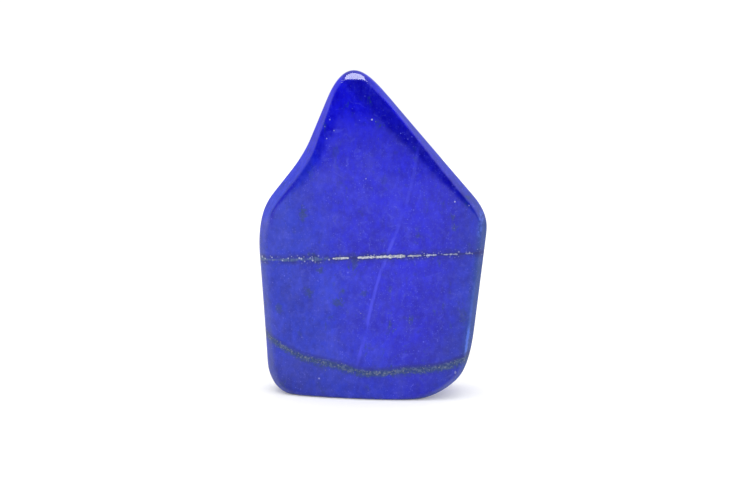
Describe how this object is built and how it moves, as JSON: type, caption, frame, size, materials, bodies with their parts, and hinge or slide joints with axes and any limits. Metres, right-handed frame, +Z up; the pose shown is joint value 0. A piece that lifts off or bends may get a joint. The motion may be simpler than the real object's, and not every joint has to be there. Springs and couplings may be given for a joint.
{
  "type": "polished lapis lazuli freeform",
  "caption": "Standing polished free-form of deep blue lapis lazuli, a soft-cornered leaning arrowhead with pyrite and grey-green veins, resting on a flat cut foot.",
  "frame": {"origin": "on the flat cut foot, under the middle of the stone's bounding box", "axes": "+Z up along the stone's height, -Y out of the broad polished front, +X to the right as one faces the front"},
  "size_m": [0.066, 0.0254, 0.0949],
  "materials": {
    "lapis": "polished, deep ultramarine with pyrite flecks, a golden pyrite seam, a grey-green lower vein and a pale healed hairline"
  },
  "bodies": {
    "root": {"lapis_stone": "lapis"}
  },
  "joints": []
}
